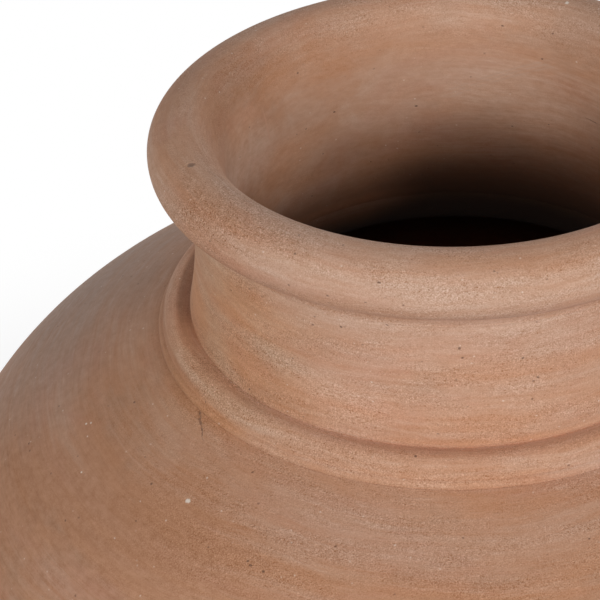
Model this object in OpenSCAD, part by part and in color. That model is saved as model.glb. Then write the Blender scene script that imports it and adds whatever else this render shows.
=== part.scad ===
// Large terracotta jar for planting, built as such jars are, from courses of clay that are thrown
// one on another and luted together: a floor slab, five courses of wall, a waisted neck, a tooled
// cordon round the neck's foot and a rolled rim. Every piece is a ring turned about the Z axis,
// which stands on the ground at z = 0.

/* [Body] */
// Diameter of the belly, the jar's widest level
belly_d = 576; // [540:2:620]
// Height of the belly level above the ground
belly_z = 330; // [300:5:360]
// Height from the belly level up to the flat seat for the neck
shoulder_h = 160; // [140:2:190]
// Diameter of the foot
foot_d = 300; // [260:5:340]
// Slope of the lower wall at the foot, in degrees from the vertical
foot_taper = 33; // [29:1:39]
// Thickness of the body wall
wall = 17; // [13:0.5:20]

/* [Floor] */
// Thickness of the floor slab
floor_t = 20; // [16:1:28]
// Diameter of the drain hole
drain_d = 30; // [20:1:45]
// Depth of the hollow trimmed into the underside
foot_hollow = 4; // [2:0.5:7]
// Width of the ring that the jar stands on
foot_ring_w = 32; // [20:1:50]
// Radius of the foot's outer edge
foot_edge_r = 5; // [2:0.5:8]
// Radius of the smoothed corner between the floor and the wall
floor_fillet_r = 20; // [10:1:30]

/* [Courses] */
// Height of each full course of the wall, measured up from the floor
course_h = 104; // [96:1:110]
// Height of the ridge that keys each seam
key_h = 4; // [2:0.5:6]
// Width of that ridge where it springs from the seam
key_w = 7; // [5:0.5:9]

/* [Neck] */
// Height from the seat up to the crease under the rim
neck_h = 85.5; // [76:0.5:110]
// Distance that the waist, the neck's narrowest level, stands in from the rim's edge
waist_in = 20.2; // [18:0.2:26]
// Height of the waist above the seat
waist_h = 54; // [36:1:62]
// Distance that the neck's foot stands in from the rim's edge
neck_foot_in = 15; // [10:0.5:17]
// Width by which the throat widens to the opening in the shoulder
root_w = 5; // [2:0.5:8]
// Height over which it widens
root_h = 30; // [20:1:38]

/* [Cordon] */
// Height of the cordon above the seat
cordon_h = 12.2; // [11.2:0.2:15]
// Radius of the cordon's rounded bead
bead_r = 8.4; // [6.8:0.2:9.6]
// Width of the groove between the neck and the bead
groove_w = 6.2; // [4:0.2:8]
// Depth of that groove
groove_depth = 1; // [0.6:0.1:3]
// Width of the thin strip that runs from the bead onto the shoulder
strip_w = 2.4; // [2:0.2:8]
// Thickness of the strip at its outer edge
strip_t = 0.6; // [0.4:0.1:1.5]

/* [Rim] */
// Diameter of the rim. The neck, the cordon and the mouth follow it.
rim_d = 300; // [270:1:330]
// Width of the roll, from the rim's edge in to the crown, its highest line
roll_w = 18.3; // [16:0.1:22]
// Height of the crown above the rim's widest level
crown_h = 16.3; // [13:0.1:20]
// Height of the rim's widest level above its underside
roll_h = 16.9; // [13:0.1:19]
// Distance that the rim's edge overhangs the crease, where its underside ends over the neck
overhang = 16; // [10:0.5:17]
// Distance that the neck's top stands in from the crease
crease_in = 2; // [0.8:0.2:3]
// Width of the mouth's flare, from the crown in to the throat, its narrowest level
flare_w = 20.7; // [18:0.1:23]
// Height of that flare
flare_h = 40; // [39:1:60]

/* [Hidden] */
$fn = 128;
clay = [0.69, 0.52, 0.42];
// Longest step between two levels of a body wall's outline
wall_step = 9;
// Steps along each curve of the neck, the cordon and the rim
curve_steps = 12;
// Steps round a small corner
corner_steps = 4;

belly_r = belly_d / 2;
foot_r = foot_d / 2;
rim_r = rim_d / 2;
crown_r = rim_r - roll_w;
throat_r = crown_r - flare_w;
opening_r = throat_r + root_w;
waist_r = rim_r - waist_in;
neck_foot_r = rim_r - neck_foot_in;
neck_top_r = rim_r - overhang - crease_in;
// How sharply the neck's cove turns out from the waist
cove_power = 1.7;
// How much of the groove's fall lies next to the neck
groove_power = 1.6;
// How far the neck's foot is cut in at the groove's edge
undercut = groove_depth / 2;

// Heights from the ground
seat_z = belly_z + shoulder_h;
waist_z = seat_z + waist_h;
groove_z = seat_z + cordon_h;
crease_z = seat_z + neck_h;

// The rim's section is an upper and a lower half ellipse with one width. The lower one ends on the
// crease, at this angle below the widest level.
crease_a = acos((roll_w - overhang) / roll_w);
roll_z = crease_z + roll_h * sin(crease_a);
top_z = roll_z + crown_h;
flare_z = top_z - flare_h;

// The cordon's circles, from the neck outwards
bead_in_r = neck_foot_r + groove_w;
bead_out_r = bead_in_r + bead_r;
cordon_r = bead_out_r + strip_w;

// The lower wall is an arc that leaves the belly upright and runs into a straight taper at the foot
arc_r = ((belly_r - foot_r) * cos(foot_taper) - belly_z * sin(foot_taper)) / (cos(foot_taper) - 1);
arc_c = belly_r - arc_r;
taper_z = belly_z - arc_r * sin(foot_taper);

// The shoulder is an ellipse that leaves the belly upright and meets the cordon's edge on the seat
dome_h = shoulder_h / sqrt(1 - pow(cordon_r / belly_r, 2));

// Points along an ellipse about c, with half axes a and b, from angle t0 to t1
function curve(c, a, b, t0, t1, steps) =
    [for (i = [0:steps]) let (t = t0 + (t1 - t0) * i / steps) c + [a * cos(t), b * sin(t)]];

// Evenly spaced heights from z0 to z1
function levels(z0, z1, step) =
    let (count = ceil(abs(z1 - z0) / step)) [for (i = [0:count]) z0 + (z1 - z0) * i / count];

// Heights that follow the wall's curve from z0 up to z1, with none along its straight taper
function wall_levels(z0, z1) =
    z1 > taper_z ? levels(max(z0, taper_z), z1, wall_step) : [z1];

function reversed(points) = [for (i = [len(points) - 1:-1:0]) points[i]];

// The points after the first one
function rest(points) = [for (i = [1:len(points) - 1]) points[i]];

// Radius of the body's outer face at height z
function skin_r(z) =
    z > belly_z ? belly_r * sqrt(1 - pow((z - belly_z) / dome_h, 2))
    : z > taper_z ? arc_c + sqrt(arc_r * arc_r - pow(belly_z - z, 2))
    : foot_r + z * tan(foot_taper);

// Angle of the outer face's normal above the horizontal, in degrees
function skin_tilt(z) =
    z > belly_z ? atan2((z - belly_z) / pow(dome_h, 2), skin_r(z) / pow(belly_r, 2))
    : z > taper_z ? -asin((belly_z - z) / arc_r)
    : -foot_taper;

function skin(z) = [skin_r(z), z];

// The point one wall thickness behind skin(z), kept under the seat's own thickness
function lining(z) =
    let (point = skin(z) - wall * [cos(skin_tilt(z)), sin(skin_tilt(z))])
    [point.x, min(point.y, seat_z - wall)];

// A seam from the outer point a to the inner point b, with its keying ridge raised into the upper
// section. The section below ends on these points and the one above starts on them.
function keyed(a, b) =
    let (
        along = (b - a) / norm(b - a),
        up = [along.y, -along.x] * key_h,
        middle = (a + b) / 2
    )
    [
        a,
        middle - along * key_w / 2,
        middle - along * key_w / 4 + up,
        middle + along * key_w / 4 + up,
        middle + along * key_w / 2,
        b,
    ];

// Radius inside the neck and rim at height z
function bore_r(z) =
    z > flare_z ? crown_r - (crown_r - throat_r) * sqrt(1 - pow((z - flare_z) / flare_h, 2))
    : throat_r + (opening_r - throat_r) * pow(max(0, seat_z + root_h - z) / root_h, 2);

// Radius outside the neck at height z: a cove that is narrowest at the waist
function cove_r(z) =
    let (
        end_r = z > waist_z ? neck_top_r : neck_foot_r,
        end_z = z > waist_z ? crease_z : groove_z
    )
    waist_r + (end_r - waist_r) * pow((z - waist_z) / (end_z - waist_z), cove_power);

// Height of the groove's floor at radius r: half a wave from the bead's top down to the neck, which
// falls late, close to the neck
function groove_fall_z(r) =
    let (u = (bead_in_r - r) / (bead_in_r - neck_seat_r))
        groove_z - groove_depth * (1 - cos(180 * pow(u, groove_power))) / 2;

// The seam on top of a course, counted up from the floor
function course_z(count) = floor_t + count * course_h;
function course_seam(count) = keyed(skin(course_z(count)), lining(course_z(count)));

// The floor's seam. Its corner fillet widens the lower wall's foot.
wall_foot_in_r = skin_r(floor_t) - wall / cos(foot_taper)
    + floor_fillet_r * (tan(foot_taper) - 1 / cos(foot_taper));
floor_seam = keyed(skin(floor_t), [wall_foot_in_r, floor_t]);
// The neck stands inside the cordon, and they share this face
neck_seat_r = neck_foot_r - undercut;
neck_seam = keyed([neck_seat_r, seat_z], [opening_r, seat_z]);
rim_seam = keyed([neck_top_r, crease_z], [bore_r(crease_z), crease_z]);

module turned(outline) {
    color(clay)
    rotate_extrude()
    polygon(outline);
}

module floor_slab() {
    hollow_r = skin_r(0) - foot_ring_w;
    // The edge's arc touches the ground and the tapered side
    edge_c = [
        foot_r - foot_edge_r * tan(45 - foot_taper / 2),
        foot_edge_r,
    ];
    turned(concat(
        [[drain_d / 2, foot_hollow], [hollow_r - foot_hollow, foot_hollow], [hollow_r, 0]],
        curve(edge_c, foot_edge_r, foot_edge_r, -90, -foot_taper, corner_steps),
        floor_seam,
        [[drain_d / 2, floor_t]]
    ));
}

module lower_wall() {
    fillet_c = [wall_foot_in_r, floor_t + floor_fillet_r];
    heights = wall_levels(floor_t, course_z(1));
    turned(concat(
        reversed(floor_seam),
        [for (z = heights) skin(z)],
        rest(course_seam(1)),
        rest(reversed([for (z = heights) lining(z)])),
        curve(fillet_c, floor_fillet_r, floor_fillet_r, -foot_taper, -90, curve_steps)
    ));
}

// A course between two seams, from height z0 to z1, its faces following the skin and the lining
module course(below, above, z0, z1) {
    heights = [for (z = wall_levels(z0, z1)) if (z > z0) z];
    turned(concat(
        reversed(below),
        [for (z = heights) skin(z)],
        rest(above),
        rest(reversed([for (z = heights) lining(z)]))
    ));
}

module flank_wall() {
    course(course_seam(1), course_seam(2), course_z(1), course_z(2));
}

module belly_wall() {
    course(course_seam(2), course_seam(3), course_z(2), course_z(3));
}

module shoulder_wall() {
    course(course_seam(3), course_seam(4), course_z(3), course_z(4));
}

module seat_wall() {
    // The flat seat carries the cordon on its outer part and the neck on its inner part
    seat = concat([skin(seat_z)], neck_seam, [[opening_r, seat_z - wall]]);
    course(course_seam(4), seat, course_z(4), seat_z);
}

module neck_cordon() {
    bead_c = [bead_in_r, groove_z - bead_r];
    // The groove falls from the bead's top to its deepest line, against the neck
    turned(concat(
        [[neck_seat_r, seat_z], [cordon_r, seat_z], [cordon_r, seat_z + strip_t]],
        curve(bead_c, bead_r, bead_r, 0, 90, curve_steps),
        [for (r = rest(levels(bead_in_r, neck_seat_r, groove_w / curve_steps)))
            [r, groove_fall_z(r)]]
    ));
}

module neck_collar() {
    cove = levels(groove_z, crease_z, neck_h / (2 * curve_steps));
    flare = levels(crease_z, flare_z, flare_h / curve_steps);
    root = levels(seat_z + root_h, seat_z, root_h / curve_steps);
    turned(concat(
        reversed(neck_seam),
        [[neck_seat_r, groove_z - undercut]],
        [for (z = cove) [cove_r(z), z]],
        rest(rim_seam),
        [for (z = rest(flare)) [bore_r(z), z]],
        [for (z = root) [bore_r(z), z]]
    ));
}

module rim_roll() {
    roll_c = [crown_r, roll_z];
    flare_c = [crown_r, flare_z];
    // The flare's angle where the seam cuts it
    flare_a = asin((crease_z - flare_z) / flare_h);
    turned(concat(
        reversed(rim_seam),
        curve(roll_c, roll_w, roll_h, -crease_a, 0, curve_steps),
        rest(curve(roll_c, roll_w, crown_h, 0, 90, curve_steps)),
        rest(curve(flare_c, throat_r - crown_r, flare_h, 90, flare_a, curve_steps))
    ));
}

floor_slab();
lower_wall();
flank_wall();
belly_wall();
shoulder_wall();
seat_wall();
neck_cordon();
neck_collar();
rim_roll();
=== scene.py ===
"""Looks of a large terracotta jar planter: nine turned clay pieces, their fired-clay finish, a pale
studio floor, soft light and the camera. Lengths are in metres and +Z is up."""

import math

import bpy
import numpy as np
from bpy.props import FloatProperty, FloatVectorProperty, IntProperty, PointerProperty
from bpy.types import Operator, Panel, PropertyGroup
from mathutils import Matrix, Vector


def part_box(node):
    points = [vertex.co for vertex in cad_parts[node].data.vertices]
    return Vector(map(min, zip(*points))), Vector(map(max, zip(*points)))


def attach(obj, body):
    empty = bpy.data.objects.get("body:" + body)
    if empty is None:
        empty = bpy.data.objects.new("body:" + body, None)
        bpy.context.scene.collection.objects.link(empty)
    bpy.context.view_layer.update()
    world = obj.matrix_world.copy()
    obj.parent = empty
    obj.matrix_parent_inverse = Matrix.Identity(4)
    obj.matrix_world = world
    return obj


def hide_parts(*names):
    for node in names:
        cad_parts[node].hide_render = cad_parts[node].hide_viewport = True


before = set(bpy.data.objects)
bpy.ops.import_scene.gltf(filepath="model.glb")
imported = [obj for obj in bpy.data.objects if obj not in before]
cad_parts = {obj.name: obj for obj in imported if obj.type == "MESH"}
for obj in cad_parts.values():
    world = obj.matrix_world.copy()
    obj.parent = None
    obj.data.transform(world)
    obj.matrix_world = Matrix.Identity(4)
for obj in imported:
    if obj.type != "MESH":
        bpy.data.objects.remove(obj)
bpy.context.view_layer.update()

bl_info = {
    "name": "Terracotta Jar Planter",
    "version": (1, 0, 0),
    "blender": (4, 5, 0),
    "location": "3D View > Sidebar > Jar",
    "description": "Turns the clay pieces of a terracotta jar planter and sets them in a studio",
    "category": "Add Mesh",
}

CLAY = "fired_terracotta"


def length(name, description, default):
    """A property that holds a length in metres."""
    return FloatProperty(
        name=name, description=description, default=default, min=0.0,
        unit="LENGTH", subtype="DISTANCE", precision=4,
    )


def tone(name, description, default):
    """A property that holds a clay colour, linear red, green and blue."""
    return FloatVectorProperty(
        name=name, description=description, default=default, min=0.0, max=1.0, size=3,
        subtype="COLOR",
    )


def share(name, description, default, top=1.0):
    """A property that holds a strength from 0 up to top."""
    return FloatProperty(
        name=name, description=description, default=default, min=0.0, max=top, subtype="FACTOR",
    )


class JarSizes(PropertyGroup):
    """Sizes of the jar's section."""

    belly_d: length("Belly", "Diameter of the belly, the widest level", 0.576)
    belly_z: length("Belly height", "Height of the belly level above the ground", 0.330)
    shoulder_h: length("Shoulder", "Height from the belly level up to the neck's seat", 0.160)
    foot_d: length("Foot", "Diameter of the foot", 0.300)
    foot_taper: FloatProperty(
        name="Foot taper", description="Slope of the lower wall at the foot, from the vertical",
        default=math.radians(33), unit="ROTATION", subtype="ANGLE",
    )
    wall: length("Wall", "Thickness of the body wall", 0.017)
    floor_t: length("Floor", "Thickness of the floor slab", 0.020)
    drain_d: length("Drain hole", "Diameter of the drain hole", 0.030)
    foot_hollow: length("Foot hollow", "Depth of the hollow under the floor", 0.004)
    foot_ring_w: length("Foot ring", "Width of the ring that the jar stands on", 0.032)
    foot_edge_r: length("Foot edge", "Radius of the foot's outer edge", 0.005)
    floor_fillet_r: length("Floor corner", "Radius between the floor and the wall", 0.020)
    course_h: length("Course", "Height of each full course of the wall", 0.104)
    key_h: length("Key height", "Height of the ridge that keys each seam", 0.004)
    key_w: length("Key width", "Width of that ridge where it springs", 0.007)
    neck_h: length("Neck", "Height from the seat up to the crease under the rim", 0.0855)
    waist_in: length("Waist", "Distance of the waist in from the rim's edge", 0.0202)
    waist_h: length("Waist height", "Height of the waist above the seat", 0.054)
    neck_foot_in: length("Neck foot", "Distance of the neck's foot in from the rim's edge", 0.015)
    undercut: length("Undercut", "Cut under the neck's foot at the groove", 0.0005)
    root_w: length("Root width", "Width by which the throat widens at its root", 0.005)
    root_h: length("Root height", "Height over which the throat widens", 0.030)
    cordon_h: length("Cordon", "Height of the cordon above the seat", 0.0122)
    bead_r: length("Bead", "Radius of the cordon's bead", 0.0084)
    groove_w: length("Groove width", "Width of the groove round the neck", 0.0062)
    groove_depth: length("Groove depth", "Depth of that groove", 0.0010)
    strip_w: length("Strip width", "Width of the strip from the bead onto the shoulder", 0.0024)
    strip_t: length("Strip edge", "Thickness of the strip at its outer edge", 0.0006)
    strip_bulge: length("Strip bulge", "How far the strip bulges between its edges", 0.0004)
    rim_d: length("Rim", "Diameter of the rim", 0.300)
    roll_w: length("Roll width", "Distance from the rim's edge in to its crown", 0.0183)
    crown_h: length("Crown height", "Height of the crown above the rim's widest level", 0.0163)
    roll_h: length("Roll height", "Height of the widest level above the rim's underside", 0.0169)
    overhang: length("Overhang", "Distance that the rim overhangs the crease", 0.016)
    crease_in: length("Crease", "Distance that the neck's top stands in from the crease", 0.002)
    flare_w: length("Flare width", "Distance from the crown in to the throat", 0.0207)
    flare_h: length("Flare height", "Height of the mouth's flare", 0.040)
    line_drop: length("Rim line", "Drop from the crease to the line of the rim's coil", 0.0081)
    segments: IntProperty(
        name="Segments", description="Steps round the jar", default=480, min=64, max=720,
    )


class HandMarks(PropertyGroup):
    """Sizes of what the potter's hands and the kiln left on the turned shape."""

    out_of_round: length("Out of round", "How far the walls stray from a true circle", 0.00030)
    rim_lift: length("Rim lift", "How far the rim's level strays up and down", 0.0006)
    turning_ridge: length("Outer ridges", "Height of the turning ridges outside", 0.00006)
    turning_pitch: length("Outer pitch", "Spacing of the turning ridges outside", 0.019)
    finger_ridge: length("Inner ridges", "Height of the finger ridges inside the body", 0.00055)
    finger_pitch: length("Inner pitch", "Spacing of the finger ridges inside", 0.021)
    seam_burr: length("Seam burr", "Height of the line that the rim's coil left", 0.00028)


class ClayTones(PropertyGroup):
    """Colours of the fired clay."""

    body: tone("Clay", "The clay's main colour", (0.500, 0.258, 0.152))
    warm: tone("Warm clay", "Where the clay fired to a clearer orange", (0.500, 0.236, 0.118))
    rosy: tone("Rosy clay", "Where the clay fired pinker", (0.490, 0.240, 0.155))
    bloom: tone("Bloom", "The dry pale bloom of salts on the surface", (0.520, 0.335, 0.242))
    ashen: tone("Ashen clay", "Where smoke greyed the clay", (0.390, 0.225, 0.143))
    # Painted shade and grey grazing sheen: the colour painted on the far left side of the shoulder
    painted_shade: tone("Smoked clay", "The smoke-greyed side of the shoulder", (0.375, 0.275, 0.228))
    tan: tone("Tan", "Wash over the yellower side of the neck and rim", (1.0, 0.98, 0.87))
    scratch: tone("Scratch", "The redder clay that a scratch bared", (0.60, 0.33, 0.22))
    lime: tone("Lime", "Specks of lime in the clay", (0.78, 0.66, 0.56))
    pit: tone("Pits", "The bottoms of pits and the fleck on the rim", (0.125, 0.060, 0.034))
    # Painted shade: the dark colour painted deep inside, under the neck
    painted_deep_shade: tone("Raw inside", "The unwiped, smoked clay deep inside", (0.10, 0.055, 0.034))
    # Painted shade: the near-black colour painted round the opening under the neck
    painted_deepest_shade: tone("Soot", "The sooted clay round the opening under the neck", (0.028, 0.016, 0.011))
    roughness: share("Roughness", "Roughness of the dry clay", 0.82)


class StudioSet(PropertyGroup):
    """The floor, the lights and the camera."""

    floor_d: length("Floor", "Diameter of the studio floor", 16.0)
    floor_tone: tone("Floor colour", "Colour of the floor", (0.86, 0.86, 0.86))
    floor_glow: share("Floor glow", "How much whiter the camera sees the floor", 0.46)
    clear_from: length("Clear from", "Distance where the floor starts to fade to white", 0.50)
    clear_to: length("Clear to", "Distance where the floor is white", 0.95)
    sky: share("Sky", "Level of the even light from all round", 0.22, 2.0)
    lamp_power: FloatProperty(
        name="Lamps", description="Power of each soft lamp", default=11.7, min=0.0,
        unit="POWER",
    )
    lamp_distance: length("Lamp distance", "Distance of the lamps from the rim", 2.0)
    lens: FloatProperty(
        name="Lens", description="Focal length of the camera", default=139.68, unit="CAMERA",
    )
    aim: FloatVectorProperty(
        name="Aim", description="The point that the camera looks at", size=3,
        default=(-0.07858, 0.0, 0.4995), unit="LENGTH", subtype="TRANSLATION", precision=5,
    )
    stand_off: length("Stand-off", "Distance from the camera to its aim", 1.2)
    tilt: FloatProperty(
        name="Tilt", description="Angle that the camera looks down", default=math.radians(33.5),
        unit="ROTATION", subtype="ANGLE",
    )
    roll: FloatProperty(
        name="Roll", description="Turn of the camera about its view", default=math.radians(-2.9),
        unit="ROTATION", subtype="ANGLE",
    )


# The section ---------------------------------------------------------------------------------

# The courses of the body wall, from the floor up
COURSES = ("lower_wall", "flank_wall", "belly_wall", "shoulder_wall", "seat_wall")


def smooth(low, high, x):
    """0 below low, 1 above high, and 3u^2 - 2u^3 between them."""
    u = np.clip((x - low) / (high - low), 0, 1)
    return u * u * (3 - 2 * u)


def rows(r, z, side):
    """Stacks radii, heights and sides (1 outside, 0 inside) into one run of the outline."""
    r, z, side = np.broadcast_arrays(np.asarray(r, float), np.asarray(z, float), side)
    return np.stack([r, z, side], 1)


def spaced(start, end, step, lip=0.0003):
    """Even levels from start to end, a step apart, with one more a lip away from each end, so that
    two pieces meet with the same slope."""
    count = max(2, math.ceil(abs(end - start) / step))
    away = math.copysign(lip, end - start)
    inner = np.linspace(start, end, count + 1)[1:-1]
    return np.concatenate([[start, start + away], inner, [end - away, end]])


def ellipse(centre, half_w, half_h, start, end, count):
    """Points c + (a cos t, b sin t) of an ellipse, for t from start to end in radians."""
    t = np.linspace(start, end, count + 1)
    return centre[0] + half_w * np.cos(t), centre[1] + half_h * np.sin(t)


def travelled(points):
    """Distance along an outline: the running sum of its steps."""
    steps = np.hypot(np.diff(points[:, 0]), np.diff(points[:, 1]))
    return np.concatenate([[0.0], np.cumsum(steps)])


def eased(points, corner, reach, count=6):
    """Rounds one corner of an outline. The stretch within reach of it, measured along the outline,
    is swapped for the arc (1-t)^2 a + 2 t (1-t) corner + t^2 b, where a and b are its ends."""
    travel = travelled(points)
    at = travel[np.argmin(np.hypot(points[:, 0] - corner[0], points[:, 1] - corner[1]))]
    ends = [
        np.array([np.interp(at + way * reach, travel, points[:, k]) for k in range(3)])
        for way in (-1, 1)
    ]
    middle = np.array([corner[0], corner[1], (ends[0][2] + ends[1][2]) / 2])
    t = np.linspace(0, 1, count)[:, None]
    arc = (1 - t) ** 2 * ends[0] + 2 * t * (1 - t) * middle + t ** 2 * ends[1]
    return np.concatenate(
        [points[travel < at - reach - 1e-6], arc, points[travel > at + reach + 1e-6]]
    )


class Section:
    """The jar's section: its named radii and heights, and its outline cut into runs."""

    def __init__(self, s):
        self.s = s
        self.belly_r, self.foot_r = s.belly_d / 2, s.foot_d / 2
        self.rim_r = s.rim_d / 2
        self.crown_r = self.rim_r - s.roll_w
        self.throat_r = self.crown_r - s.flare_w
        self.opening_r = self.throat_r + s.root_w
        self.waist_r = self.rim_r - s.waist_in
        self.neck_foot_r = self.rim_r - s.neck_foot_in
        self.neck_seat_r = self.neck_foot_r - s.undercut
        self.crease_r = self.rim_r - s.overhang
        self.neck_top_r = self.crease_r - s.crease_in
        self.seat_z = s.belly_z + s.shoulder_h
        self.waist_z = self.seat_z + s.waist_h
        self.groove_z = self.seat_z + s.cordon_h
        self.crease_z = self.seat_z + s.neck_h
        self.line_z = self.crease_z - s.line_drop
        self.crease_a = math.acos((s.roll_w - s.overhang) / s.roll_w)
        self.roll_z = self.crease_z + s.roll_h * math.sin(self.crease_a)
        self.top_z = self.roll_z + s.crown_h
        self.flare_z = self.top_z - s.flare_h
        self.bead_in_r = self.neck_foot_r + s.groove_w
        self.bead_out_r = self.bead_in_r + s.bead_r
        self.cordon_r = self.bead_out_r + s.strip_w
        c, t = math.cos(s.foot_taper), math.sin(s.foot_taper)
        self.arc_r = ((self.belly_r - self.foot_r) * c - s.belly_z * t) / (c - 1)
        self.arc_c = self.belly_r - self.arc_r
        self.taper_z = s.belly_z - self.arc_r * t
        self.dome_h = s.shoulder_h / math.sqrt(1 - (self.cordon_r / self.belly_r) ** 2)
        self.wall_foot_in_r = (
            self.skin_r(s.floor_t) - s.wall / c + s.floor_fillet_r * (t / c - 1 / c)
        )
        self.runs = self.cut_runs()
        self.starts = self.measure()

    def skin_r(self, z):
        """Radius of the body's outer face: an ellipse over the belly, b sqrt(1 - ((z-zb)/h)^2), an
        arc under it, c + sqrt(R^2 - (zb-z)^2), and a straight taper at the foot."""
        s, z = self.s, np.asarray(z, float)
        dome = self.belly_r * np.sqrt(np.clip(1 - ((z - s.belly_z) / self.dome_h) ** 2, 0, 1))
        arc = self.arc_c + np.sqrt(np.clip(self.arc_r ** 2 - (s.belly_z - z) ** 2, 0, None))
        taper = self.foot_r + z * math.tan(s.foot_taper)
        return np.where(z > s.belly_z, dome, np.where(z > self.taper_z, arc, taper))

    def skin_tilt(self, z):
        """Angle of the outer face's normal above the horizontal."""
        s, z = self.s, np.asarray(z, float)
        dome = np.arctan2((z - s.belly_z) / self.dome_h ** 2, self.skin_r(z) / self.belly_r ** 2)
        arc = -np.arcsin(np.clip((s.belly_z - z) / self.arc_r, -1, 1))
        return np.where(z > s.belly_z, dome, np.where(z > self.taper_z, arc, -s.foot_taper))

    def lining(self, z):
        """The point one wall thickness behind the outer face, kept under the seat's thickness."""
        s, tilt = self.s, self.skin_tilt(z)
        r = self.skin_r(z) - s.wall * np.cos(tilt)
        return r, np.minimum(z - s.wall * np.sin(tilt), self.seat_z - s.wall)

    def bore_r(self, z):
        """Radius inside the neck: a quarter ellipse from the crown down to the throat, the straight
        throat, and a widening root, throat + w ((z0-z)/h)^2."""
        s, z = self.s, np.asarray(z, float)
        up = np.clip((z - self.flare_z) / s.flare_h, 0, 1)
        root = np.clip((self.seat_z + s.root_h - z) / s.root_h, 0, None)
        return np.where(
            z > self.flare_z,
            self.crown_r - (self.crown_r - self.throat_r) * np.sqrt(1 - up ** 2),
            self.throat_r + s.root_w * root ** 2,
        )

    def cove_r(self, z):
        """Radius outside the neck: waist + (end - waist) u^1.7, with u from 0 at the waist to 1 at
        the crease above it or the groove below it."""
        z = np.asarray(z, float)
        above = z > self.waist_z
        end_r = np.where(above, self.neck_top_r, self.neck_foot_r)
        end_z = np.where(above, self.crease_z, self.groove_z)
        u = np.clip((z - self.waist_z) / (end_z - self.waist_z), 0, 1)
        return self.waist_r + (end_r - self.waist_r) * u ** 1.7

    def keyed(self, a, b, side_a=1.0, side_b=0.0):
        """A seam from a outside to b inside, with its keying ridge in the middle."""
        a, b = np.array(a, float), np.array(b, float)
        along = (b - a) / np.hypot(*(b - a))
        up = np.array([along[1], -along[0]]) * self.s.key_h
        mid, half = (a + b) / 2, along * self.s.key_w / 2
        pts = np.array([a, mid - half, mid - half / 2 + up, mid + half / 2 + up, mid + half, b])
        step = np.hypot(*(pts - a).T) / np.hypot(*(b - a))
        return rows(pts[:, 0], pts[:, 1], side_a + (side_b - side_a) * np.clip(step, 0, 1))

    def course_z(self, n):
        """Height of the top of a course, counted up from the floor, which is number 0. The last
        course ends at the seat."""
        return self.seat_z if n == len(COURSES) else self.s.floor_t + n * self.s.course_h

    def course_seam(self, n):
        """The seam on top of a course."""
        z = self.course_z(n)
        return self.keyed((self.skin_r(z), z), self.lining(z))

    def cut_runs(self):
        """The whole outline in order: from the drain hole out under the foot, up the outside, over
        the rim, down the inside and across the floor back to the hole."""
        upward = range(1, len(COURSES) + 1)
        return {
            "under": self.foot_run(),
            **{f"outer{n}": self.outer_run(n) for n in upward},
            "cordon": self.cordon_run(),
            "neck_outer": self.neck_run(),
            "rim_outer": self.roll_run(),
            "rim_inner": self.flare_run(),
            "neck_inner": self.throat_run(),
            **{f"inner{n}": self.inner_run(n) for n in reversed(upward)},
            "floor_top": self.floor_run(),
        }

    def foot_run(self):
        """Out along the hollow and the standing ring, and round the foot's edge up to the floor's
        seam."""
        s = self.s
        hollow_r = self.foot_r - s.foot_ring_w
        edge_in = s.foot_edge_r * math.tan(math.pi / 4 - s.foot_taper / 2)
        edge = (self.foot_r - edge_in, s.foot_edge_r)
        er, ez = ellipse(edge, s.foot_edge_r, s.foot_edge_r, -math.pi / 2, -s.foot_taper, 8)
        under_r = spaced(s.drain_d / 2, hollow_r - s.foot_hollow, 0.006)
        side_z = spaced(ez[-1], s.floor_t, 0.002)[1:]
        foot = np.concatenate([
            rows(under_r, s.foot_hollow, 1),
            rows(np.linspace(hollow_r, edge[0], 6), 0.0, 1),
            rows(er[1:], ez[1:], 1),
            rows(self.skin_r(side_z), side_z, 1),
        ])
        return eased(foot, (hollow_r, 0.0), 0.0012)

    def outer_run(self, n):
        """Up the outside of a course."""
        z = spaced(self.course_z(n - 1), self.course_z(n), 0.0018)
        return rows(self.skin_r(z), z, 1)

    def cordon_run(self):
        """Up the strip, over the bead and into the groove. The strip is a straight slope from the
        shoulder up to the bead, with a bulge b sin(pi u) outwards and up. The groove falls from the
        bead's top to the neck by d (1 - cos(pi u^1.6)) / 2, most of it close to the neck."""
        s = self.s
        bead = (self.bead_in_r, self.groove_z - s.bead_r)
        strip_top = self.seat_z + s.strip_t
        strip_u = np.linspace(0, 1, 15)[:-1]
        bulge = s.strip_bulge * np.sin(math.pi * strip_u)
        bulge_out, bulge_up = 0.57, 0.82
        strip_r = self.cordon_r - s.strip_w * strip_u + bulge_out * bulge
        strip_z = strip_top + (bead[1] - strip_top) * strip_u + bulge_up * bulge
        br, bz = ellipse(bead, s.bead_r, s.bead_r, 0, math.pi / 2, 24)
        fall_u = np.linspace(0, 1, 25)[1:]
        fall_r = self.bead_in_r + (self.neck_seat_r - self.bead_in_r) * fall_u
        fall_z = self.groove_z - s.groove_depth * (1 - np.cos(math.pi * fall_u ** 1.6)) / 2
        cordon = np.concatenate([
            rows([self.cordon_r], [self.seat_z], 1),
            rows(strip_r, strip_z, 1),
            rows(br, bz, 1),
            rows(fall_r, fall_z, 1),
        ])
        return eased(cordon, (self.cordon_r, strip_top), 0.0005)

    def neck_run(self):
        """Up the outside of the neck, with closer levels at the line under the rim."""
        z = spaced(self.groove_z, self.crease_z, 0.0011)
        z = np.unique(np.concatenate([z, self.line_z + np.arange(-8, 8) * 0.0003]))
        neck = np.concatenate([
            rows([self.neck_seat_r], [self.groove_z - self.s.undercut], 1),
            rows(self.cove_r(z), z, 1),
        ])
        return eased(neck, (self.neck_foot_r, self.groove_z), 0.0004)

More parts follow.
